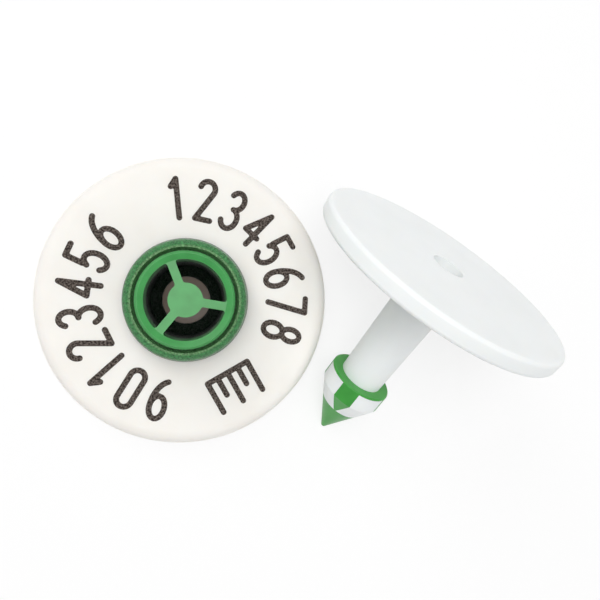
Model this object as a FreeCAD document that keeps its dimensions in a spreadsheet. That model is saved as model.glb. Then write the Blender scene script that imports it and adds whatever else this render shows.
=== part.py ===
import FreeCAD, Part
import math
import os
import Sketcher

# Two-part button ear tag for livestock, its halves apart as they lie on a table.
# The receiving half lies on its back face, collar up: its hole axis is the frame's Z axis
# and its back face is z = 0. The piercing half lies beside it on its rim and its point.
# Millimetres throughout.

sizes = {
    # receiving half: white disc
    "disc_radius": 15.0,
    "disc_thickness": 3.4,
    "face_edge_round": 1.3,
    "back_edge_round": 0.5,
    # fine step round the rim where the shell's mould parts
    "parting_step": 0.15,
    "parting_land": 0.2,
    # ring pocket for the transponder, closed from the back
    "rim_width": 1.4,
    "cover_thickness": 0.8,
    "cover_width": 6.0,
    "cover_ledge": 0.5,
    "seam_chamfer": 0.12,
    "pocket_height": 1.5,
    # transponder: coil, board, chip and capacitor
    "coil_clearance": 0.1,
    "coil_corner_round": 0.35,
    "board_clearance": 0.45,
    "board_length": 4.2,
    "board_width": 1.7,
    "board_thickness": 0.4,
    "chip_length": 1.5,
    "chip_width": 1.1,
    "chip_thickness": 0.6,
    "chip_offset": 0.95,
    "capacitor_length": 1.2,
    "capacitor_width": 0.9,
    "capacitor_thickness": 0.7,
    "capacitor_offset": -1.1,
    # green collar, anchored in the disc by its flange
    "neck_radius": 5.2,
    "flange_wall": 0.4,
    "flange_bottom": 0.9,
    "flange_thickness": 1.1,
    "collar_foot_radius": 6.35,
    "collar_height": 10.4,
    "collar_round": 0.6,
    "crest_width": 0.65,
    "groove_mouth_width": 0.47,
    "groove_floor_width": 0.27,
    "groove_depth": 0.8,
    # hole, locking lip and cavity
    "hole_radius": 2.5,
    "lead_in_radius": 3.3,
    "lead_in_height": 0.7,
    "lip_height": 1.1,
    "cavity_clearance": 0.2,
    # green cap in the mouth of the collar
    "cap_radius": 4.33,
    "cap_opening_radius": 3.59,
    "cap_seat_depth": 1.0,
    "cap_height": 12.0,
    "cap_dish": 0.2,
    "cap_dish_radius": 4.1,
    "cap_edge_chamfer": 0.2,
    "hub_radius": 1.53,
    "spoke_width": 0.76,
    "spoke_thickness": 1.3,
    "spoke_count": 3,
    "spoke_corner_round": 0.22,
    "spoke_turn": 110.5,
    # piercing half: white disc and stem
    "pin_disc_radius": 13.25,
    "pin_disc_thickness": 1.65,
    "pin_edge_round": 0.4,
    "stem_root_radius": 2.65,
    "stem_root_round": 2.2,
    "stem_end_radius": 2.35,
    "stem_length": 13.5,
    "pin_mouth_radius": 1.7,
    "pin_mouth_depth": 1.8,
    "pin_bore_radius": 1.3,
    "pin_bore_depth": 15.0,
    # pointed head
    "head_radius": 3.45,
    "head_band": 2.0,
    "head_cone": 6.4,
    "head_point_round": 0.3,
    "head_back_chamfer": 0.12,
    "core_radius": 2.0,
    "core_tip_radius": 0.8,
    "core_length": 4.7,
    "window_count": 4,
    "window_width": 3.2,
    "window_start": 0.18,
    "window_length": 3.8,
    # where the piercing half lies: its disc's middle from the other's rim, how it points
    "pin_distance": 9.0,
    "pin_place_y": 2.0,
    "pin_heading": 241.5,
    "pin_roll": 67.0,
}


def make_sheet(doc):
    sheet = doc.addObject("Spreadsheet::Sheet", "size")
    for row, (name, number) in enumerate(sizes.items(), start=1):
        sheet.set(f"A{row}", name)
        sheet.set(f"B{row}", str(number))
        sheet.setAlias(f"B{row}", name)
    doc.recompute()
    return sheet


def plane(body, role):
    return next(item for item in body.Origin.OriginFeatures if item.Role == role)


def new_body(doc, label):
    body = doc.addObject("PartDesign::Body", label)
    body.Label = label
    return body


def new_sketch(body, name, role="XZ_Plane"):
    sketch = body.newObject("Sketcher::SketchObject", name)
    sketch.AttachmentSupport = [(plane(body, role), "")]
    sketch.MapMode = "FlatFace"
    return sketch


def pin_point(sketch, curve, end, formulas):
    # ties one end of a curve to its place, each coordinate by a formula on the sheet
    for kind, axis, formula in zip(("DistanceX", "DistanceY"), (-2, -1), formulas):
        if formula == "0":
            sketch.addConstraint(Sketcher.Constraint("PointOnObject", curve, end, axis))
        else:
            distance = float(sketch.evalExpression(formula))
            place = sketch.addConstraint(
                Sketcher.Constraint(kind, -1, 1, curve, end, distance))
            sketch.setExpression(f"Constraints[{place}]", formula)


def closed_outline(sketch, corners):
    # straight-sided outline; each corner is a pair of formulas, across and up
    points = [FreeCAD.Vector(*(float(sketch.evalExpression(item)) for item in corner))
              for corner in corners]
    lines = [sketch.addGeometry(Part.LineSegment(start, end))
             for start, end in zip(points, points[1:] + points[:1])]
    for line, following in zip(lines, lines[1:] + lines[:1]):
        sketch.addConstraint(Sketcher.Constraint("Coincident", line, 2, following, 1))
    for line, corner in zip(lines, corners):
        pin_point(sketch, line, 1, corner)
    return lines


def turn(body, sketch, kind="Revolution"):
    feature = body.newObject(f"PartDesign::{kind}", f"{sketch.Name}_{kind}")
    feature.Profile = sketch
    feature.ReferenceAxis = (sketch, ["V_Axis"])
    feature.Angle = 360
    body.Document.recompute()
    return feature


def repeat_round(body, feature, axis_sketch, count):
    pattern = body.newObject("PartDesign::PolarPattern", f"{feature.Name}_round")
    pattern.Originals = [feature]
    pattern.Axis = (axis_sketch, ["V_Axis"])
    pattern.Angle = 360
    pattern.setExpression("Occurrences", count)
    body.Tip = pattern
    body.Document.recompute()
    return pattern


def circle_edge(radius, height):
    # picks the circular edges about Z of one radius at one height
    def matches(edge):
        curve = edge.Curve
        return (isinstance(curve, Part.Circle)
                and abs(curve.Radius - radius) < 1e-4
                and abs(curve.Center.z - height) < 1e-4
                and math.hypot(curve.Center.x, curve.Center.y) < 1e-4)
    return matches


def dress(body, kind, size, *pickers):
    # rounds or chamfers the edges that any of the pickers picks
    base = body.Tip
    names = [f"Edge{number}" for number, edge in enumerate(base.Shape.Edges, start=1)
             if not edge.Degenerated and any(picks(edge) for picks in pickers)]
    if not names:
        raise RuntimeError(f"{body.Label}: no edge found for {size}")
    feature = body.newObject(f"PartDesign::{kind}", f"{body.Label}_{size}")
    feature.Base = (base, names)
    feature.setExpression("Radius" if kind == "Fillet" else "Size", f"size.{size}")
    body.Document.recompute()
    return feature


def upright_edges(outer_radius):
    # picks the straight edges along Z that stand no further out than a radius
    def matches(edge):
        middle = edge.valueAt((edge.FirstParameter + edge.LastParameter) / 2)
        return (isinstance(edge.Curve, Part.Line)
                and abs(edge.Curve.Direction.z) > 0.999
                and math.hypot(middle.x, middle.y) < outer_radius + 1e-3)
    return matches


def pad(body, sketch, length, symmetric=False, kind="Pad"):
    feature = body.newObject(f"PartDesign::{kind}", f"{sketch.Name}_{kind}")
    feature.Profile = sketch
    feature.SideType = "Symmetric" if symmetric else "One side"
    feature.setExpression("Length", length)
    body.Document.recompute()
    return feature


# Formulas of the receiving half, shared by the pieces that meet there

FACE_OUTER = "size.disc_radius - size.parting_step"
PARTING_LEVEL = "size.disc_thickness - size.face_edge_round - size.parting_land"
COVER_OUTER = "size.disc_radius - size.rim_width"
COVER_INNER = f"{COVER_OUTER} - size.cover_width"
POCKET_OUTER = f"{COVER_OUTER} - size.cover_ledge"
POCKET_INNER = f"{COVER_INNER} + size.cover_ledge"
POCKET_TOP = "size.cover_thickness + size.pocket_height"
COIL_OUTER = f"{POCKET_OUTER} - size.coil_clearance"
BOARD_MIDDLE = f"{POCKET_INNER} + size.board_clearance + size.board_width / 2"
COIL_INNER = f"{POCKET_INNER} + size.board_clearance * 2 + size.board_width"
BOARD_TOP = "size.cover_thickness + size.board_thickness"
FLANGE_RADIUS = f"{COVER_INNER} - size.flange_wall"
FLANGE_TOP = "size.flange_bottom + size.flange_thickness"
LIP_TOP = "size.lead_in_height + size.lip_height"
CREST_RADIUS = "size.cap_radius + size.groove_mouth_width"
COLLAR_TOP_RADIUS = f"{CREST_RADIUS} + size.crest_width"
GROOVE_FLOOR = "size.collar_height - size.groove_depth"
GROOVE_FLOOR_RADIUS = "size.cap_radius + size.groove_floor_width"
CAVITY_RADIUS = "size.head_radius + size.cavity_clearance"
CAP_SEAT = f"{GROOVE_FLOOR} - size.cap_seat_depth"


def make_front_shell(doc):
    body = new_body(doc, "front_shell")
    section = new_sketch(body, "shell_section")
    closed_outline(section, [
        ("size.collar_foot_radius", "size.disc_thickness"),
        (FACE_OUTER, "size.disc_thickness"),
        (FACE_OUTER, PARTING_LEVEL),
        ("size.disc_radius", PARTING_LEVEL),
        ("size.disc_radius", "0"),
        (COVER_OUTER, "0"),
        (COVER_OUTER, "size.cover_thickness"),
        (POCKET_OUTER, "size.cover_thickness"),
        (POCKET_OUTER, POCKET_TOP),
        (POCKET_INNER, POCKET_TOP),
        (POCKET_INNER, "size.cover_thickness"),
        (COVER_INNER, "size.cover_thickness"),
        (COVER_INNER, "0"),
        ("size.neck_radius", "0"),
        ("size.neck_radius", "size.flange_bottom"),
        (FLANGE_RADIUS, "size.flange_bottom"),
        (FLANGE_RADIUS, FLANGE_TOP),
        ("size.collar_foot_radius", FLANGE_TOP),
    ])
    shell = turn(body, section)
    dress(body, "Fillet", "face_edge_round",
          circle_edge(float(shell.evalExpression(FACE_OUTER)), doc.size.get("disc_thickness")))
    dress(body, "Fillet", "back_edge_round", circle_edge(doc.size.get("disc_radius"), 0))
    return body


def make_rear_cover(doc):
    # welded into the back of the shell; its chamfers leave the fine seam lines
    body = new_body(doc, "rear_cover")
    section = new_sketch(body, "cover_section")
    closed_outline(section, [
        (COVER_INNER, "0"),
        (COVER_OUTER, "0"),
        (COVER_OUTER, "size.cover_thickness"),
        (COVER_INNER, "size.cover_thickness"),
    ])
    cover = turn(body, section)
    dress(body, "Chamfer", "seam_chamfer",
          *(circle_edge(float(cover.evalExpression(radius)), 0)
            for radius in (COVER_INNER, COVER_OUTER)))
    return body


def make_coil(doc):
    body = new_body(doc, "transponder_coil")
    top = f"{POCKET_TOP} - size.coil_clearance"
    section = new_sketch(body, "winding_section")
    closed_outline(section, [
        (COIL_INNER, "size.cover_thickness"),
        (COIL_OUTER, "size.cover_thickness"),
        (COIL_OUTER, top),
        (COIL_INNER, top),
    ])
    winding = turn(body, section)
    radii = [float(winding.evalExpression(item)) for item in (COIL_INNER, COIL_OUTER)]
    heights = [float(winding.evalExpression(item)) for item in ("size.cover_thickness", top)]
    dress(body, "Fillet", "coil_corner_round",
          *(circle_edge(radius, height) for radius in radii for height in heights))
    return body


def rectangle(sketch, middle, length, width, along="0"):
    # length runs along the sketch's second axis
    closed_outline(sketch, [
        (f"{middle} - {width} / 2", f"{along} - {length} / 2"),
        (f"{middle} + {width} / 2", f"{along} - {length} / 2"),
        (f"{middle} + {width} / 2", f"{along} + {length} / 2"),
        (f"{middle} - {width} / 2", f"{along} + {length} / 2"),
    ])


def raise_sketch(sketch, height):
    sketch.setExpression("AttachmentOffset.Base.z", height)
    sketch.Document.recompute()


def make_board(doc):
    # laminate on the cover, clear of the pocket's inner wall and of the coil
    body = new_body(doc, "circuit_board")
    outline = new_sketch(body, "board_outline", "XY_Plane")
    rectangle(outline, BOARD_MIDDLE, "size.board_length", "size.board_width")
    raise_sketch(outline, "size.cover_thickness")
    pad(body, outline, "size.board_thickness")
    return body


def on_board(doc, label, kind):
    # block that sits on the board: its sizes are the sheet's values for its kind
    body = new_body(doc, label)
    outline = new_sketch(body, f"{kind}_outline", "XY_Plane")
    rectangle(outline, BOARD_MIDDLE, f"size.{kind}_length", f"size.{kind}_width",
              f"size.{kind}_offset")
    raise_sketch(outline, BOARD_TOP)
    pad(body, outline, f"size.{kind}_thickness")
    return body


def make_chip(doc):
    return on_board(doc, "transponder_chip", "chip")


def make_capacitor(doc):
    return on_board(doc, "tuning_capacitor", "capacitor")


def make_collar(doc):
    # lead-in, locking lip and cavity inside; flange in the disc and drafted skirt outside
    body = new_body(doc, "locking_collar")
    section = new_sketch(body, "collar_section")
    closed_outline(section, [
        ("size.lead_in_radius", "0"),
        ("size.neck_radius", "0"),
        ("size.neck_radius", "size.flange_bottom"),
        (FLANGE_RADIUS, "size.flange_bottom"),
        (FLANGE_RADIUS, FLANGE_TOP),
        ("size.collar_foot_radius", FLANGE_TOP),
        ("size.collar_foot_radius", "size.disc_thickness"),
        (COLLAR_TOP_RADIUS, "size.collar_height"),
        (CREST_RADIUS, "size.collar_height"),
        (GROOVE_FLOOR_RADIUS, GROOVE_FLOOR),
        ("size.cap_radius", GROOVE_FLOOR),
        ("size.cap_radius", CAP_SEAT),
        (CAVITY_RADIUS, CAP_SEAT),
        (CAVITY_RADIUS, LIP_TOP),
        ("size.hole_radius", LIP_TOP),
        ("size.hole_radius", "size.lead_in_height"),
    ])
    collar = turn(body, section)
    top_radius = float(collar.evalExpression(COLLAR_TOP_RADIUS))
    dress(body, "Fillet", "collar_round",
          circle_edge(top_radius, doc.size.get("collar_height")))
    return body


def make_cap(doc):
    # dished ring, hub and spokes; the open sectors let the head's point be seen
    body = new_body(doc, "spoked_cap")
    plate_top = "size.cap_height - size.cap_dish"
    plate_bottom = f"{plate_top} - size.spoke_thickness"
    ring = new_sketch(body, "ring_section")
    closed_outline(ring, [
        ("size.cap_opening_radius", CAP_SEAT),
        ("size.cap_radius", CAP_SEAT),
        ("size.cap_radius", "size.cap_height"),
        ("size.cap_dish_radius", "size.cap_height"),
        ("size.cap_opening_radius", plate_top),
    ])
    turn(body, ring)
    spoke = new_sketch(body, "spoke", "XY_Plane")
    ring_middle = "(size.cap_opening_radius + size.cap_radius) / 2"
    closed_outline(spoke, [
        ("0", "-size.spoke_width / 2"),
        (ring_middle, "-size.spoke_width / 2"),
        (ring_middle, "size.spoke_width / 2"),
        ("0", "size.spoke_width / 2"),
    ])
    raise_sketch(spoke, plate_bottom)
    repeat_round(body, pad(body, spoke, "size.spoke_thickness"), ring, "size.spoke_count")
    hub = new_sketch(body, "hub", "XY_Plane")
    rim = hub.addGeometry(Part.Circle(FreeCAD.Vector(0, 0, 0), FreeCAD.Vector(0, 0, 1),
                                      doc.size.get("hub_radius")))
    hub.addConstraint(Sketcher.Constraint("Coincident", rim, 3, -1, 1))
    reach = hub.addConstraint(Sketcher.Constraint("Radius", rim, doc.size.get("hub_radius")))
    hub.setExpression(f"Constraints[{reach}]", "size.hub_radius")
    raise_sketch(hub, plate_bottom)
    pad(body, hub, "size.spoke_thickness")
    dress(body, "Fillet", "spoke_corner_round",
          upright_edges(doc.size.get("cap_opening_radius")))
    dress(body, "Chamfer", "cap_edge_chamfer",
          circle_edge(doc.size.get("cap_radius"), doc.size.get("cap_height")))
    body.setExpression("Placement.Rotation.Angle", "size.spoke_turn * 1deg")
    return body


# Formulas of the piercing half, which is made along its own Z axis from its outer face

STEM_END = "size.pin_disc_thickness + size.stem_length"
BAND_END = f"{STEM_END} + size.head_band"
CONE_END = f"{BAND_END} + size.head_cone"
WINDOW_START = f"{STEM_END} + size.window_start"
WINDOW_END = f"{WINDOW_START} + size.window_length"
CORE_END = f"{STEM_END} + size.core_length"
CORE_WALL = "(size.pin_bore_radius + size.core_radius) / 2"


def make_pin(doc):
    # disc, stem and core in one moulding, its stepped bore for the applicator's needle
    body = new_body(doc, "pin_moulding")
    section = new_sketch(body, "pin_section")
    closed_outline(section, [
        ("size.pin_mouth_radius", "0"),
        ("size.pin_disc_radius", "0"),
        ("size.pin_disc_radius", "size.pin_disc_thickness"),
        ("size.stem_root_radius", "size.pin_disc_thickness"),
        ("size.stem_end_radius", STEM_END),
        ("size.core_radius", STEM_END),
        ("size.core_radius", WINDOW_END),
        ("size.core_tip_radius", CORE_END),
        ("0", CORE_END),
        ("0", "size.pin_bore_depth"),
        ("size.pin_bore_radius", "size.pin_bore_depth"),
        ("size.pin_bore_radius", "size.pin_mouth_depth"),
        ("size.pin_mouth_radius", "size.pin_mouth_depth"),
    ])
    turn(body, section)
    # lugs that fill the head's windows, trimmed flush with the head's outer form
    lug = new_sketch(body, "lug")
    closed_outline(lug, [
        (CORE_WALL, WINDOW_START),
        ("size.head_radius", WINDOW_START),
        ("size.head_radius", WINDOW_END),
        (CORE_WALL, WINDOW_END),
    ])
    repeat_round(body, pad(body, lug, "size.window_width", symmetric=True),
                 section, "size.window_count")
    around = new_sketch(body, "around_head")
    clear = "size.head_radius + size.window_width"
    closed_outline(around, [
        ("size.head_radius", STEM_END),
        (clear, STEM_END),
        (clear, CONE_END),
        ("0", CONE_END),
        ("size.head_radius", BAND_END),
    ])
    before = body.Shape.Volume
    turn(body, around, "Groove")
    if not body.Shape.Volume < before:
        raise RuntimeError("the groove leaves the lugs as they were")
    face = doc.size.get("pin_disc_thickness")
    rim = doc.size.get("pin_disc_radius")
    dress(body, "Fillet", "stem_root_round",
          circle_edge(doc.size.get("stem_root_radius"), face))
    dress(body, "Fillet", "pin_edge_round", circle_edge(rim, face), circle_edge(rim, 0))
    return body


def make_tip(doc):
    # pointed shell moulded over the core; the lugs show through its windows
    body = new_body(doc, "piercing_tip")
    section = new_sketch(body, "tip_section")
    corners = [
        ("0", CORE_END),
        ("size.core_tip_radius", CORE_END),
        ("size.core_radius", WINDOW_END),
        ("size.core_radius", STEM_END),
        ("size.head_radius", STEM_END),
        ("size.head_radius", BAND_END),
    ]
    pointed_outline(section, corners, CONE_END, "size.head_point_round")
    turn(body, section)
    window = new_sketch(body, "window")
    closed_outline(window, [
        (CORE_WALL, WINDOW_START),
        ("size.head_radius + size.window_width", WINDOW_START),
        ("size.head_radius + size.window_width", WINDOW_END),
        (CORE_WALL, WINDOW_END),
    ])
    before = body.Shape.Volume
    cut = pad(body, window, "size.window_width", symmetric=True, kind="Pocket")
    repeat_round(body, cut, section, "size.window_count")
    if not body.Shape.Volume < before:
        raise RuntimeError("the pocket cuts no window")
    dress(body, "Chamfer", "head_back_chamfer",
          circle_edge(doc.size.get("head_radius"), float(cut.evalExpression(STEM_END))))
    return body


def pointed_outline(sketch, corners, cone_end, point_round):
    # straight sides to the last corner, then a cone towards its sharp end on the axis,
    # blunted by an arc centred on the axis and tangent to the cone
    points = [FreeCAD.Vector(*(float(sketch.evalExpression(item)) for item in corner))
              for corner in corners]
    apex = FreeCAD.Vector(0, float(sketch.evalExpression(cone_end)))
    radius = float(sketch.evalExpression(point_round))
    side = apex - points[-1]
    half_angle = math.atan2(points[-1].x, side.y)
    middle = apex - FreeCAD.Vector(0, radius / math.sin(half_angle))
    touch = apex - side.normalize() * (radius / math.tan(half_angle))
    lines = [sketch.addGeometry(Part.LineSegment(start, end))
             for start, end in zip(points, points[1:] + [touch])]
    circle = Part.Circle(middle, FreeCAD.Vector(0, 0, 1), radius)
    arc = sketch.addGeometry(Part.ArcOfCircle(circle, half_angle, math.pi / 2))
    axis = sketch.addGeometry(Part.LineSegment(middle + FreeCAD.Vector(0, radius), points[0]))
    sharp = sketch.addGeometry(Part.Point(apex), True)
    for line, following in zip(lines, lines[1:]):
        sketch.addConstraint(Sketcher.Constraint("Coincident", line, 2, following, 1))
    for line, corner in zip(lines, corners):
        pin_point(sketch, line, 1, corner)
    pin_point(sketch, sharp, 1, ("0", cone_end))
    sketch.addConstraint(Sketcher.Constraint("PointOnObject", sharp, 1, lines[-1]))
    sketch.addConstraint(Sketcher.Constraint("Tangent", lines[-1], 2, arc, 1))
    sketch.addConstraint(Sketcher.Constraint("PointOnObject", arc, 3, -2))
    sketch.addConstraint(Sketcher.Constraint("Coincident", arc, 2, axis, 1))
    sketch.addConstraint(Sketcher.Constraint("PointOnObject", axis, 1, -2))
    sketch.addConstraint(Sketcher.Constraint("Coincident", axis, 2, lines[0], 1))
    place = sketch.addConstraint(Sketcher.Constraint("Radius", arc, radius))
    sketch.setExpression(f"Constraints[{place}]", point_round)


def lying_place(sheet):
    # The rim's round and the point's round both touch the floor. Their centres and radii
    # give how far the stem points below level, and how high the outer face's middle is.
    size = sheet.get
    half_angle = math.atan2(size("head_radius"), size("head_cone"))
    point_middle = (size("stem_length") + size("head_band") + size("head_cone")
                    - size("head_point_round") / math.sin(half_angle))
    along = point_middle + size("pin_edge_round")
    across = size("pin_disc_radius") - size("pin_edge_round")
    dip = (math.atan2(across, along)
           + math.asin((size("pin_edge_round") - size("head_point_round"))
                       / math.hypot(along, across)))
    heading = math.radians(size("pin_heading"))
    stem = FreeCAD.Vector(math.cos(dip) * math.cos(heading),
                          math.cos(dip) * math.sin(heading), -math.sin(dip))
    face_height = point_middle * math.sin(dip) + size("head_point_round")
    face_middle = FreeCAD.Vector(size("disc_radius") + size("pin_distance"),
                                 size("pin_place_y"), face_height)
    up, side = FreeCAD.Vector(0, 0, 1), FreeCAD.Vector(0, 1, 0)
    rotation = (FreeCAD.Rotation(up, size("pin_heading"))
                * FreeCAD.Rotation(side, 90 + math.degrees(dip))
                * FreeCAD.Rotation(up, size("pin_roll")))
    return FreeCAD.Placement(face_middle - stem * size("pin_disc_thickness"), rotation)


def check(doc, bodies):
    for item in doc.Objects:
        faults = {"Invalid", "Error"} & set(item.State)
        if faults:
            raise RuntimeError(f"{item.Label}: {faults}")
    for body in bodies:
        if body.Shape.isNull() or not body.Shape.isValid() or len(body.Shape.Solids) != 1:
            raise RuntimeError(f"{body.Label}: no single valid solid")


def main():
    doc = FreeCAD.newDocument("ear_tag")
    sheet = make_sheet(doc)
    makers = (make_front_shell, make_rear_cover, make_coil, make_board, make_chip,
              make_capacitor, make_collar, make_cap, make_pin, make_tip)
    bodies = [make(doc) for make in makers]
    for body in bodies[-2:]:
        body.Placement = lying_place(sheet)
    doc.recompute()
    check(doc, bodies)
    os.makedirs("parts", exist_ok=True)
    for body in bodies:
        body.Shape.exportStep(f"parts/{body.Label}.step")
        print(f"{body.Label}: {body.Shape.Volume:.1f} mm3")


main()
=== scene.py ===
import bpy
import math
from mathutils import Matrix, Vector


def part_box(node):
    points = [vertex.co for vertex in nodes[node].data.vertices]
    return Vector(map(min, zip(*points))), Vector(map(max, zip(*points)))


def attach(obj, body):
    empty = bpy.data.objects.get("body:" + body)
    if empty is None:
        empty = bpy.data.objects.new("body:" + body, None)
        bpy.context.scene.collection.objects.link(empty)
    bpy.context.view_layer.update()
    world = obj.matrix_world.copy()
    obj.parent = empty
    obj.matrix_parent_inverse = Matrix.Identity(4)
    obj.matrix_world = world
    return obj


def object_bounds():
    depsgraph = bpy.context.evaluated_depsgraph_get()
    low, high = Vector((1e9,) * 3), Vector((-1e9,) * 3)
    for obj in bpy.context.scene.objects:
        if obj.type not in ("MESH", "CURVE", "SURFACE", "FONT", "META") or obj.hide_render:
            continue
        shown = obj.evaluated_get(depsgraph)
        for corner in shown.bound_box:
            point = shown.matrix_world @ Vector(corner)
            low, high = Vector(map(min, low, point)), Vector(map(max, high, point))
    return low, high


# Livestock ear tag, its halves apart: the receiving half face up with its green collar,
# and the piercing half on its rim and its point beside it.

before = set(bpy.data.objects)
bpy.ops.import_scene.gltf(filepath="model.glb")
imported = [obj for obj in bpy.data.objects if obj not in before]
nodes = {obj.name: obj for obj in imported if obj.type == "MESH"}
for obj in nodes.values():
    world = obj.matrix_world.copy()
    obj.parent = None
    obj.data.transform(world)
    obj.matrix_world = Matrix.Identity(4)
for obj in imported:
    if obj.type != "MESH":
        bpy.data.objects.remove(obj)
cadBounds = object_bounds()
mm = 0.001


def hexColour(text):
    # sRGB hex to the linear colour that sockets take
    def linear(part):
        value = int(part, 16) / 255
        return value / 12.92 if value <= 0.04045 else ((value + 0.055) / 1.055) ** 2.4
    return (*(linear(text[at:at + 2]) for at in (1, 3, 5)), 1.0)


plainWhite = hexColour("#FFFFFF")


def perMm(size):
    # texture scale, in metres of Object coordinates, for a pattern of this size in mm
    return 1 / (size * mm)


def addNode(tree, kind, settings=None, links=None):
    # settings name a socket, by label or number, or a property; links name a socket's source
    node = tree.nodes.new(kind)
    for name, value in (settings or {}).items():
        if isinstance(name, int) or name in node.inputs:
            node.inputs[name].default_value = value
        else:
            setattr(node, name, value)
    for name, source in (links or {}).items():
        tree.links.new(source, node.inputs[name])
    return node


def fillRamp(ramp, stops):
    # stops are pairs of position and hex colour, in order
    elements = ramp.color_ramp.elements
    for spare in range(len(stops) - 2):
        elements.new(0.5)
    for element, (position, colour) in zip(elements, stops):
        element.position = position
        element.color = hexColour(colour)


def newMaterial(name, finish):
    # a Principled material whose constant values stand on the shader's own sockets
    material = bpy.data.materials.new(name)
    material.use_nodes = True
    tree = material.node_tree
    shader = tree.nodes["Principled BSDF"]
    for socket, value in finish.items():
        shader.inputs[socket].default_value = value
    coordinates = addNode(tree, "ShaderNodeTexCoord").outputs["Object"]
    return material, tree, shader, coordinates


def dress(nodeName, material):
    # the CAD node's own mesh, all in one material
    slots = nodes[nodeName].data.materials
    slots.clear()
    slots.append(material)


def deselectAll():
    if bpy.context.object and bpy.context.object.mode != "OBJECT":
        bpy.ops.object.mode_set(mode="OBJECT")
    bpy.ops.object.select_all(action="DESELECT")


def selectOnly(*pieces):
    deselectAll()
    for piece in pieces:
        piece.select_set(True)
    bpy.context.view_layer.objects.active = pieces[0]


def joinPieces(pieces):
    selectOnly(*pieces)
    if len(pieces) > 1:
        bpy.ops.object.join()
    return bpy.context.object


cameraSetup = {
    "above": (0.5, 0.0),    # mm, the point of the floor straight below the lens
    "height": 60.0,         # mm
    "aim": (12.2, 0.0),     # mm, where the middle of the view meets the face's level
    "aimHeight": 1.9,
    "lens": 32.4,
    "clip": (0.001, 20.0),  # m
}


def makeCamera():
    bpy.ops.object.camera_add(location=Vector((*cameraSetup["above"], cameraSetup["height"])) * mm)
    camera = bpy.context.object
    camera.name = "mainCamera"
    aim = Vector((*cameraSetup["aim"], cameraSetup["aimHeight"])) * mm
    back = (camera.location - aim).normalized()
    across = Vector((0, 1, 0)).cross(back).normalized()     # keeps +Y upwards in the view
    camera.rotation_euler = Matrix((across, back.cross(across), back)).transposed().to_euler()
    camera.data.lens = cameraSetup["lens"]
    camera.data.clip_start, camera.data.clip_end = cameraSetup["clip"]
    bpy.context.scene.camera = camera


makeCamera()
print("camera placed")


lightSetup = {
    "world": 0.46,
    "lamps": (            # place in mm, size in mm, power in W
        ("topLight", (-20.0, 30.0, 320.0), 220.0, 0.54),
        ("keyLight", (-130.0, 230.0, 230.0), 190.0, 0.22),   # from the upper left
        ("fillLight", (190.0, -130.0, 180.0), 260.0, 0.08),
    ),
}


def makeLamp(name, place, size, power, aim):
    bpy.ops.object.light_add(type="AREA", location=Vector(place) * mm)
    lamp = bpy.context.object
    lamp.name = name
    lamp.data.shape = "DISK"
    lamp.data.size = size * mm
    lamp.data.energy = power
    lamp.rotation_euler = (aim - lamp.location).to_track_quat("-Z", "Y").to_euler()


def makeLight():
    aim = (cadBounds[0] + cadBounds[1]) / 2
    for name, place, size, power in lightSetup["lamps"]:
        makeLamp(name, place, size, power, aim)
    world = bpy.data.worlds.new("studio")
    bpy.context.scene.world = world
    world.use_nodes = True
    tree = world.node_tree
    lit = tree.nodes["Background"]
    lit.inputs["Color"].default_value = plainWhite
    lit.inputs["Strength"].default_value = lightSetup["world"]
    seen = addNode(tree, "ShaderNodeBackground", {"Color": plainWhite, "Strength": 1.0})
    path = addNode(tree, "ShaderNodeLightPath")
    either = addNode(tree, "ShaderNodeMath", {"operation": "MAXIMUM"},
                     {0: path.outputs["Is Camera Ray"], 1: path.outputs["Is Transmission Ray"]})
    mix = addNode(tree, "ShaderNodeMixShader", links={0: either.outputs[0],
                                                      1: lit.outputs[0], 2: seen.outputs[0]})
    tree.links.new(mix.outputs[0], tree.nodes["World Output"].inputs["Surface"])


floorSetup = {
    "size": 6000.0,       # mm
    "paper": "#F6F6F6",
    "glow": 0.72,         # how far the paper is lifted to white where it is seen
    "shaded": 9.0,        # mm round the hole, where the tag keeps the light off
    "shade": "#75604F",   # painted shade: the dim warm tone seen through the hole, glowing in place of the tag's shadow
    "shadeGlow": 0.42,
}


def makeFloor():
    bpy.ops.mesh.primitive_plane_add(size=floorSetup["size"] * mm, location=(0, 0, cadBounds[0].z))
    floor = bpy.context.object
    floor.name = "floor"
    material, tree, shader, coordinates = newMaterial("whitePaper", {
        "Base Color": hexColour(floorSetup["paper"]), "Roughness": 0.9,
        "Specular IOR Level": 0.0})
    reach = addNode(tree, "ShaderNodeVectorMath", {"operation": "LENGTH"}, {0: coordinates})
    outside = addNode(tree, "ShaderNodeMath", {"operation": "GREATER_THAN",
                                               1: floorSetup["shaded"] * mm},
                      {0: reach.outputs["Value"]})
    glow = addNode(tree, "ShaderNodeEmission", {"Color": plainWhite, "Strength": 1.0})
    # painted shade: within this radius the floor glows a dim warm tone for the camera, in place of
    # the tag's shadow
    paintedShadeGlow = addNode(tree, "ShaderNodeEmission", {"Color": hexColour(floorSetup["shade"]),
                                               "Strength": floorSetup["shadeGlow"]})
    path = addNode(tree, "ShaderNodeLightPath")
    seen = addNode(tree, "ShaderNodeMath", {"operation": "MAXIMUM"},
                   {0: path.outputs["Is Camera Ray"], 1: path.outputs["Is Transmission Ray"]})
    share = addNode(tree, "ShaderNodeMath", {"operation": "MULTIPLY", 1: floorSetup["glow"]},
                    {0: seen.outputs[0]})
    lift = addNode(tree, "ShaderNodeMixShader", links={0: outside.outputs[0],
                                                      1: paintedShadeGlow.outputs[0], 2: glow.outputs[0]})
    mix = addNode(tree, "ShaderNodeMixShader", links={0: share.outputs[0],
                                                      1: shader.outputs[0], 2: lift.outputs[0]})
    tree.links.new(mix.outputs[0], tree.nodes["Material Output"].inputs["Surface"])
    floor.data.materials.append(material)


makeLight()
makeFloor()
bpy.context.scene.view_settings.view_transform = "Standard"
print("light and floor made")


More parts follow.
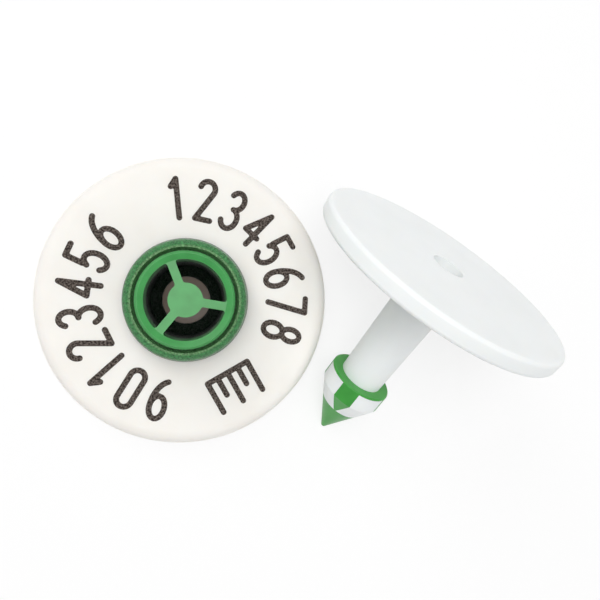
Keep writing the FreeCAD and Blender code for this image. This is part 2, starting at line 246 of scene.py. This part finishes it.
warmPolyurethane = {
    "colour": "#F3F0EB",
    "shade": "#F0ECE6",
    "mottle": 4.0,        # mm across a patch of slightly different white
    "grain": 0.16,        # mm, spark-eroded matt of the mould, drawn coarse enough to show
    "grainDepth": 0.006,  # mm
    "roughness": 0.55,
}
coolPolyurethane = {
    "colour": "#F0F3F3",
    "shade": "#EDF0F0",
    "mottle": 5.0,
    "grain": 0.30,
    "grainDepth": 0.004,
    "roughness": 0.42,
}


def mouldedPolyurethane(name, look):
    # soft opaque polyurethane from a fine matt mould: even, satin, light glows a little inside
    material, tree, shader, coordinates = newMaterial(name, {
        "Roughness": look["roughness"], "IOR": 1.5, "Specular IOR Level": 0.35,
        "Subsurface Weight": 0.25, "Subsurface Radius": (1.0, 0.85, 0.7),
        "Subsurface Scale": 1.0 * mm})
    patches = addNode(tree, "ShaderNodeTexNoise", {"Scale": perMm(look["mottle"]), "Detail": 3.0},
                      {"Vector": coordinates})
    ramp = addNode(tree, "ShaderNodeValToRGB", links={"Fac": patches.outputs["Fac"]})
    fillRamp(ramp, ((0.25, look["shade"]), (0.6, look["colour"])))
    tree.links.new(ramp.outputs["Color"], shader.inputs["Base Color"])
    grain = addNode(tree, "ShaderNodeTexNoise", {"Scale": perMm(look["grain"]), "Detail": 2.0},
                    {"Vector": coordinates})
    bump = addNode(tree, "ShaderNodeBump", {"Strength": 1.0, "Distance": look["grainDepth"] * mm},
                   {"Height": grain.outputs["Fac"]})
    tree.links.new(bump.outputs["Normal"], shader.inputs["Normal"])
    return material


receivingWhite = mouldedPolyurethane("warmMouldedPolyurethane", warmPolyurethane)
piercingWhite = mouldedPolyurethane("coolMouldedPolyurethane", coolPolyurethane)
dress("front_shell", receivingWhite)
dress("rear_cover", receivingWhite)
dress("pin_moulding", piercingWhite)


collarTexture = {
    "grain": 0.24,        # mm between the pits of the spark-eroded mould
    "depth": 0.16,        # mm, from the bottom of a pit to the crust's top
    "tone": ((0.36, "#A9A9A9"), (0.66, "#FFFFFF")),   # the crust's height and how light it is
    "paintedLightBands": (            # radius in mm and colour, from the cavity to the foot: painted shade in the cavity, a painted highlight on the crest, painted shade down the wall
        (3.9, "#132A18"), (4.5, "#2E6B3A"), (4.66, "#7DB57C"), (4.9, "#86BA80"),
        (5.05, "#4B9A58"), (5.6, "#4A9857"), (6.1, "#2F6F3C"), (6.4, "#1D4D28"),
    ),
    "reach": 8.0,         # mm, the radius at the ramp's end
}


def radiusFromAxis(tree, coordinates, reach):
    # distance from the hole's axis, as a share of reach
    flat = addNode(tree, "ShaderNodeVectorMath", {"operation": "MULTIPLY", 1: (1, 1, 0)},
                   {0: coordinates})
    away = addNode(tree, "ShaderNodeVectorMath", {"operation": "LENGTH"}, {0: flat.outputs[0]})
    share = addNode(tree, "ShaderNodeMath", {"operation": "MULTIPLY", 1: perMm(reach)},
                    {0: away.outputs["Value"]})
    return share.outputs[0]


def sparkTexturedGreen():
    # green polymer from a coarse spark-eroded mould: a crust of pits, lighter on its tops and
    # darker in its pits;
    # a painted highlight on the crest, painted shade in the cavity and down the wall
    material, tree, shader, coordinates = newMaterial("sparkTexturedGreen", {
        "Roughness": 0.34, "IOR": 1.5})
    pits = addNode(tree, "ShaderNodeTexVoronoi", {"Scale": perMm(collarTexture["grain"])},
                   {"Vector": coordinates})
    crust = addNode(tree, "ShaderNodeTexNoise", {"Scale": perMm(collarTexture["grain"] * 0.8),
                                                 "Detail": 3.0, "Roughness": 0.7},
                    {"Vector": coordinates})
    height = addNode(tree, "ShaderNodeMath", {"operation": "ADD"},
                     {0: pits.outputs["Distance"], 1: crust.outputs["Fac"]})
    bump = addNode(tree, "ShaderNodeBump", {"Strength": 1.0,
                                            "Distance": collarTexture["depth"] * mm},
                   {"Height": height.outputs[0]})
    tree.links.new(bump.outputs["Normal"], shader.inputs["Normal"])
    reach = collarTexture["reach"]
    # painted shade and painted highlight, set by the distance from the hole's axis
    paintedLightBands = addNode(tree, "ShaderNodeValToRGB",
                    links={"Fac": radiusFromAxis(tree, coordinates, reach)})
    fillRamp(paintedLightBands, [(radius / reach, colour) for radius, colour in collarTexture["paintedLightBands"]])
    tone = addNode(tree, "ShaderNodeValToRGB", links={"Fac": crust.outputs["Fac"]})
    fillRamp(tone, collarTexture["tone"])
    colour = addNode(tree, "ShaderNodeVectorMath", {"operation": "MULTIPLY"},
                     {0: paintedLightBands.outputs["Color"], 1: tone.outputs["Color"]})
    tree.links.new(colour.outputs[0], shader.inputs["Base Color"])
    return material


def smoothGreen(name, look):
    # green polymer from a polished mould: even colour, a soft broad gloss
    material, tree, shader, coordinates = newMaterial(name, {
        "Roughness": look["roughness"], "IOR": 1.5, "Subsurface Weight": 0.08,
        "Subsurface Radius": (0.3, 1.0, 0.4), "Subsurface Scale": 0.5 * mm})
    flow = addNode(tree, "ShaderNodeTexNoise", {"Scale": perMm(look["flow"]), "Detail": 3.0},
                   {"Vector": coordinates})
    ramp = addNode(tree, "ShaderNodeValToRGB", links={"Fac": flow.outputs["Fac"]})
    fillRamp(ramp, ((0.3, look["shade"]), (0.65, look["colour"])))
    tree.links.new(ramp.outputs["Color"], shader.inputs["Base Color"])
    ripple = addNode(tree, "ShaderNodeTexNoise", {"Scale": perMm(look["ripple"]), "Detail": 2.0},
                     {"Vector": coordinates})
    bump = addNode(tree, "ShaderNodeBump", {"Strength": 1.0,
                                            "Distance": look["rippleDepth"] * mm},
                   {"Height": ripple.outputs["Fac"]})
    tree.links.new(bump.outputs["Normal"], shader.inputs["Normal"])
    return material


capLook = {
    "colour": "#3C994C",
    "shade": "#358C43",
    "flow": 1.5,          # mm across a patch of slightly different green
    "ripple": 0.25,       # mm
    "rippleDepth": 0.006,
    "roughness": 0.4,
}
tipLook = {
    "colour": "#3E9C3C",
    "shade": "#368F36",
    "flow": 2.0,
    "ripple": 0.3,
    "rippleDepth": 0.004,
    "roughness": 0.3,
}

dress("locking_collar", sparkTexturedGreen())
dress("spoked_cap", smoothGreen("satinGreenCap", capLook))
dress("piercing_tip", smoothGreen("glossGreenTip", tipLook))


windingLook = {
    "copper": "#C9814A",
    "enamel": "#8C4A22",
    "ring": 0.754,        # mm from ring to ring, several turns of the fine wire drawn as one
    "ridge": 0.03,        # mm
}


def enamelledCopperWinding():
    # enamelled copper wire wound in layers: rings round the coil, dark between the turns
    material, tree, shader, coordinates = newMaterial("enamelledCopperWinding", {
        "Metallic": 1.0, "Roughness": 0.35, "Coat Weight": 0.6, "Coat Roughness": 0.15})
    turn = 2 * math.pi / 20     # the wave texture counts twenty radians to a unit
    rings = addNode(tree, "ShaderNodeTexWave", {"wave_type": "RINGS", "rings_direction": "Z",
                                                "Scale": perMm(windingLook["ring"]) * turn},
                    {"Vector": coordinates})
    ramp = addNode(tree, "ShaderNodeValToRGB", links={"Fac": rings.outputs["Fac"]})
    fillRamp(ramp, ((0.0, windingLook["enamel"]), (1.0, windingLook["copper"])))
    tree.links.new(ramp.outputs["Color"], shader.inputs["Base Color"])
    bump = addNode(tree, "ShaderNodeBump", {"Strength": 0.6,
                                            "Distance": windingLook["ridge"] * mm},
                   {"Height": rings.outputs["Fac"]})
    tree.links.new(bump.outputs["Normal"], shader.inputs["Normal"])
    return material


def speckled(name, low, high, grain, finish):
    # fired or filled material: two close tones in a fine speckle
    material, tree, shader, coordinates = newMaterial(name, finish)
    speckle = addNode(tree, "ShaderNodeTexNoise", {"Scale": perMm(grain), "Detail": 4.0},
                      {"Vector": coordinates})
    ramp = addNode(tree, "ShaderNodeValToRGB", links={"Fac": speckle.outputs["Fac"]})
    fillRamp(ramp, ((0.35, low), (0.65, high)))
    tree.links.new(ramp.outputs["Color"], shader.inputs["Base Color"])
    return material


dress("transponder_coil", enamelledCopperWinding())
dress("circuit_board", speckled("glassFibreLaminate", "#1E5A34", "#2C7444", 0.3,
                                {"Roughness": 0.35}))
dress("transponder_chip", speckled("blackEpoxy", "#17171A", "#242428", 0.1, {"Roughness": 0.5}))
dress("tuning_capacitor", speckled("tanCeramic", "#9A7B58", "#B8966E", 0.15,
                                   {"Roughness": 0.45}))


laserLook = {
    "char": "#2B2421",
    "ash": "#766C65",
    "dot": 0.19,          # mm across a dot of the marking
}


def laserCharredPolyurethane():
    # laser marking in white polyurethane: charred brown-black dots, rough and dull
    material, tree, shader, coordinates = newMaterial("laserCharredPolyurethane", {
        "Roughness": 0.85, "Specular IOR Level": 0.2})
    dots = addNode(tree, "ShaderNodeTexNoise", {"Scale": perMm(laserLook["dot"]), "Detail": 2.0,
                                                "Roughness": 0.6}, {"Vector": coordinates})
    ramp = addNode(tree, "ShaderNodeValToRGB", links={"Fac": dots.outputs["Fac"]})
    fillRamp(ramp, ((0.4, laserLook["char"]), (0.68, laserLook["ash"])))
    tree.links.new(ramp.outputs["Color"], shader.inputs["Base Color"])
    return material


laserMark = laserCharredPolyurethane()
print("materials made")


markSetup = {
    "radius": 10.45,      # mm, middle of the characters
    "height": 4.0,        # mm, between the middles of the top and bottom strokes
    "width": 1.5,
    "stroke": 0.60,
    "rise": 0.035,        # mm, how far the foamed mark stands up from the face
    "voxel": 0.055,       # mm
    "arcSteps": 20,
    "tubeDetail": 4,      # round the stroke
    "ballSides": (16, 10),
    "pitch": 16.4,        # degrees between characters
    "groups": (           # name, angle of the first character, characters
        ("numbers_right", 95.5, "12345678"),
        ("numbers_left", 254.8, "90123456"),
        ("dial_scale", -61.0, "|"),
    ),
}
# each stroke is a run of corners in half widths and half heights, or an arc given as
# its middle, its two half axes and its first and last angle
figures = {
    "0": [("arc", 0, 0.62, 1, 0.38, 0, 180), [(-1, 0.62), (-1, -0.62)],
          ("arc", 0, -0.62, 1, 0.38, 180, 360), [(1, -0.62), (1, 0.62)]],
    "1": [[(-0.6, 0.62), (0.15, 1), (0.15, -1)]],
    "2": [("arc", 0, 0.6, 1, 0.4, 170, -25), [(0.9, 0.43), (-1, -1), (1, -1)]],
    "3": [("arc", -0.05, 0.53, 0.95, 0.47, 155, -90), ("arc", -0.05, -0.47, 1.05, 0.53, 90, -155)],
    "4": [[(0.45, -1), (0.45, 1), (-1.05, -0.4), (1.05, -0.4)]],
    "5": [[(0.85, 1), (-0.8, 1), (-0.9, 0.12)], ("arc", -0.05, -0.42, 1.05, 0.58, 145, -145)],
    "6": [("arc", 0, -0.42, 1, 0.58, 0, 360), ("arc", 1.25, -0.42, 2.25, 1.42, 180, 105)],
    "7": [[(-1, 1), (1, 1), (-0.3, -1)]],
    "8": [("arc", 0, 0.52, 0.85, 0.48, 0, 360), ("arc", 0, -0.48, 1, 0.52, 0, 360)],
    "9": [("arc", 0, 0.42, 1, 0.58, 0, 360), ("arc", -1.25, 0.42, 2.25, 1.42, 0, -75)],
    "|": [[(-3.1, 0.8), (-3.1, -0.9), (3.1, -0.9), (3.1, 0.8)], [(0, -0.9), (0, 0.8)],
          [(-1.55, -0.9), (-1.55, 0.1)], [(1.55, -0.9), (1.55, 0.1)]],   # a short plain scale
}


def strokeRuns(stroke):
    # the stroke's middle line in mm: a straight run between each two corners, or one arc
    across, up = markSetup["width"] / 2, markSetup["height"] / 2
    if stroke[0] != "arc":
        corners = [Vector((x * across, y * up, 0)) for x, y in stroke]
        return list(zip(corners, corners[1:]))
    _, middleX, middleY, halfX, halfY, first, last = stroke
    steps = markSetup["arcSteps"]
    angles = [math.radians(first + (last - first) * step / steps) for step in range(steps + 1)]
    return [[Vector(((middleX + halfX * math.cos(angle)) * across,
                     (middleY + halfY * math.sin(angle)) * up, 0)) for angle in angles]]


def modelFigure(strokes):
    # round tubes along the runs, with a ball at the ends of each to close and join them
    radius = markSetup["stroke"] / 2 * mm
    ballSides, ballRings = markSetup["ballSides"]
    runs = [run for stroke in strokes for run in strokeRuns(stroke)]
    bpy.ops.curve.primitive_bezier_curve_add()
    tube = bpy.context.object
    tube.data.splines.clear()
    for run in runs:
        line = tube.data.splines.new("POLY")
        line.points.add(len(run) - 1)
        for spot, point in zip(line.points, run):
            spot.co = (*(point * mm), 1)
    tube.data.bevel_depth = radius
    tube.data.bevel_resolution = markSetup["tubeDetail"]
    tube.data.use_fill_caps = True
    selectOnly(tube)
    bpy.ops.object.convert(target="MESH")
    parts = [bpy.context.object]
    for end in (end for run in runs for end in (run[0], run[-1])):
        bpy.ops.mesh.primitive_uv_sphere_add(segments=ballSides, ring_count=ballRings,
                                             radius=radius, location=end * mm)
        parts.append(bpy.context.object)
    figure = joinPieces(parts)
    bpy.ops.object.transform_apply(location=True, rotation=True, scale=True)
    return figure


def placeCopy(figure, degrees):
    # a copy on the ring, its foot towards the middle
    angle = math.radians(degrees)
    copy = bpy.data.objects.new(figure.name, figure.data.copy())
    bpy.context.collection.objects.link(copy)
    out = Vector((math.cos(angle), math.sin(angle), 0)) * markSetup["radius"] * mm
    copy.data.transform(Matrix.Translation(out) @ Matrix.Rotation(angle - math.pi / 2, 4, "Z"))
    return copy


def finishMark(copies, name):
    # one clean skin round all the strokes, then pressed flat onto the face
    mark = joinPieces(copies)
    mark.name = mark.data.name = name
    skin = mark.modifiers.new("skin", "REMESH")
    skin.mode = "VOXEL"
    skin.voxel_size = markSetup["voxel"] * mm
    skin.use_smooth_shade = True
    bpy.ops.object.modifier_apply(modifier=skin.name)
    flatten = markSetup["rise"] / (markSetup["stroke"] / 2)
    mark.data.transform(Matrix.Translation((0, 0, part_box("front_shell")[1].z))
                        @ Matrix.Diagonal((1, 1, flatten, 1)))
    mark.data.materials.append(laserMark)
    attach(mark, "root")
    return mark


def markFace():
    patterns = {character: modelFigure(strokes) for character, strokes in figures.items()}
    for name, firstAngle, text in markSetup["groups"]:
        copies = [placeCopy(patterns[character], firstAngle - at * markSetup["pitch"])
                  for at, character in enumerate(text)]
        finishMark(copies, name)
    for pattern in patterns.values():
        bpy.data.objects.remove(pattern)


markFace()
print("numbers and scale marked")
